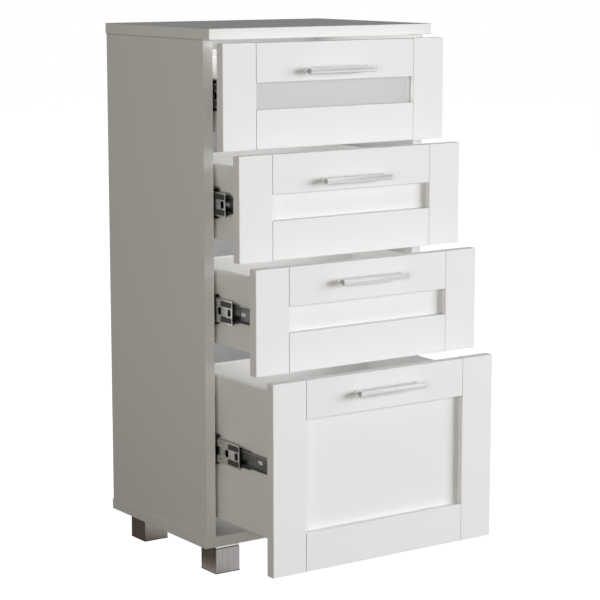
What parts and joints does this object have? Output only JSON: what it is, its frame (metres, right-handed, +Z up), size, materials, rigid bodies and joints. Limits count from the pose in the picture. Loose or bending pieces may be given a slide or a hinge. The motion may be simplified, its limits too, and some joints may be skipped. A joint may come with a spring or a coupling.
{
  "type": "bathroom storage tower",
  "caption": "Narrow free-standing bathroom chest with framed drawer fronts, a glass strip, bar handles, ball-bearing runners and square metal feet.",
  "frame": {"origin": "on the floor, in the middle of the space that the chest takes with its drawers standing as in the picture", "axes": "+Z up, -Y towards the drawer fronts, +X to the right seen from the front"},
  "size_m": [0.4, 0.477, 0.81],
  "materials": {
    "cabinet_board": "white melamine-faced particle board, satin",
    "top_board": "white melamine-faced particle board, satin",
    "back_board": "white painted hardboard",
    "box_board": "white melamine-faced particle board, satin",
    "front_wrap": "fibreboard wrapped in white foil, satin",
    "satin_glass": "etched satin glass",
    "handle_metal": "polished chrome plate",
    "foot_metal": "vertically brushed",
    "plate_metal": "plain steel plate",
    "runner_steel": "zinc-plated rolled steel",
    "cage_steel": "dark ball cage with steel balls",
    "fitting_metal": "zinc-plated fittings",
    "beech_dowel": "plain beech"
  },
  "bodies": {
    "root": {"top_panel": "top_board", "side_panel_left": "cabinet_board", "side_panel_right": "cabinet_board", "bottom_panel": "cabinet_board", "back_panel": "back_board", "cam_discs": "fitting_metal", "cam_bolts": "fitting_metal", "dowels": "beech_dowel", "feet": "foot_metal", "foot_plates": "plate_metal", "foot_screws": "fitting_metal", "runner_screws": "fitting_metal", "runner_outer_1": "runner_steel", "runner_outer_2": "runner_steel", "runner_outer_3": "runner_steel", "runner_outer_4": "runner_steel"},
    "drawer_1": {"front_frame_1": "front_wrap", "glass_strip_1": "satin_glass", "box_sides_1": "box_board", "box_back_1": "box_board", "box_bottom_1": "box_board", "handle_1": "handle_metal", "fasteners_1": "fitting_metal", "runner_inner_1": "runner_steel"},
    "runner_middle_1": {"runner_middle_1": "runner_steel"},
    "cage_outer_1": {"ball_cage_outer_1": "cage_steel"},
    "cage_inner_1": {"ball_cage_inner_1": "cage_steel"},
    "drawer_2": {"front_frame_2": "front_wrap", "front_panel_2": "front_wrap", "box_sides_2": "box_board", "box_back_2": "box_board", "box_bottom_2": "box_board", "handle_2": "handle_metal", "fasteners_2": "fitting_metal", "runner_inner_2": "runner_steel"},
    "runner_middle_2": {"runner_middle_2": "runner_steel"},
    "cage_outer_2": {"ball_cage_outer_2": "cage_steel"},
    "cage_inner_2": {"ball_cage_inner_2": "cage_steel"},
    "drawer_3": {"front_frame_3": "front_wrap", "front_panel_3": "front_wrap", "box_sides_3": "box_board", "box_back_3": "box_board", "box_bottom_3": "box_board", "handle_3": "handle_metal", "fasteners_3": "fitting_metal", "runner_inner_3": "runner_steel"},
    "runner_middle_3": {"runner_middle_3": "runner_steel"},
    "cage_outer_3": {"ball_cage_outer_3": "cage_steel"},
    "cage_inner_3": {"ball_cage_inner_3": "cage_steel"},
    "drawer_4": {"front_frame_4": "front_wrap", "front_panel_4": "front_wrap", "box_sides_4": "box_board", "box_back_4": "box_board", "box_bottom_4": "box_board", "handle_4": "handle_metal", "fasteners_4": "fitting_metal", "runner_inner_4": "runner_steel"},
    "runner_middle_4": {"runner_middle_4": "runner_steel"},
    "cage_outer_4": {"ball_cage_outer_4": "cage_steel"},
    "cage_inner_4": {"ball_cage_inner_4": "cage_steel"}
  },
  "joints": [
    {"name": "drawer_1_slide", "type": "slide", "parent": "root", "child": "drawer_1", "axis": [0, -1, 0], "range_m": [-0.0325, 0.2175]},
    {"name": "runner_middle_1_slide", "type": "slide", "parent": "root", "child": "runner_middle_1", "axis": [0, -1, 0], "range_m": [-0.013, 0.087]},
    {"name": "cage_outer_1_slide", "type": "slide", "parent": "root", "child": "cage_outer_1", "axis": [0, -1, 0], "range_m": [-0.0065, 0.0435]},
    {"name": "cage_inner_1_slide", "type": "slide", "parent": "root", "child": "cage_inner_1", "axis": [0, -1, 0], "range_m": [-0.02275, 0.15225]},
    {"name": "drawer_2_slide", "type": "slide", "parent": "root", "child": "drawer_2", "axis": [0, -1, 0], "range_m": [-0.074, 0.176]},
    {"name": "runner_middle_2_slide", "type": "slide", "parent": "root", "child": "runner_middle_2", "axis": [0, -1, 0], "range_m": [-0.0296, 0.0704]},
    {"name": "cage_outer_2_slide", "type": "slide", "parent": "root", "child": "cage_outer_2", "axis": [0, -1, 0], "range_m": [-0.0148, 0.0352]},
    {"name": "cage_inner_2_slide", "type": "slide", "parent": "root", "child": "cage_inner_2", "axis": [0, -1, 0], "range_m": [-0.0518, 0.1232]},
    {"name": "drawer_3_slide", "type": "slide", "parent": "root", "child": "drawer_3", "axis": [0, -1, 0], "range_m": [-0.116, 0.134]},
    {"name": "runner_middle_3_slide", "type": "slide", "parent": "root", "child": "runner_middle_3", "axis": [0, -1, 0], "range_m": [-0.0464, 0.0536]},
    {"name": "cage_outer_3_slide", "type": "slide", "parent": "root", "child": "cage_outer_3", "axis": [0, -1, 0], "range_m": [-0.0232, 0.0268]},
    {"name": "cage_inner_3_slide", "type": "slide", "parent": "root", "child": "cage_inner_3", "axis": [0, -1, 0], "range_m": [-0.0812, 0.0938]},
    {"name": "drawer_4_slide", "type": "slide", "parent": "root", "child": "drawer_4", "axis": [0, -1, 0], "range_m": [-0.159, 0.091]},
    {"name": "runner_middle_4_slide", "type": "slide", "parent": "root", "child": "runner_middle_4", "axis": [0, -1, 0], "range_m": [-0.0636, 0.0364]},
    {"name": "cage_outer_4_slide", "type": "slide", "parent": "root", "child": "cage_outer_4", "axis": [0, -1, 0], "range_m": [-0.0318, 0.0182]},
    {"name": "cage_inner_4_slide", "type": "slide", "parent": "root", "child": "cage_inner_4", "axis": [0, -1, 0], "range_m": [-0.1113, 0.0637]}
  ],
  "couplings": [
    {"joint": "runner_middle_1_slide", "follows": "drawer_1_slide", "ratio": 0.4},
    {"joint": "cage_outer_1_slide", "follows": "drawer_1_slide", "ratio": 0.2},
    {"joint": "cage_inner_1_slide", "follows": "drawer_1_slide", "ratio": 0.7},
    {"joint": "runner_middle_2_slide", "follows": "drawer_2_slide", "ratio": 0.4},
    {"joint": "cage_outer_2_slide", "follows": "drawer_2_slide", "ratio": 0.2},
    {"joint": "cage_inner_2_slide", "follows": "drawer_2_slide", "ratio": 0.7},
    {"joint": "runner_middle_3_slide", "follows": "drawer_3_slide", "ratio": 0.4},
    {"joint": "cage_outer_3_slide", "follows": "drawer_3_slide", "ratio": 0.2},
    {"joint": "cage_inner_3_slide", "follows": "drawer_3_slide", "ratio": 0.7},
    {"joint": "runner_middle_4_slide", "follows": "drawer_4_slide", "ratio": 0.4},
    {"joint": "cage_outer_4_slide", "follows": "drawer_4_slide", "ratio": 0.2},
    {"joint": "cage_inner_4_slide", "follows": "drawer_4_slide", "ratio": 0.7}
  ]
}
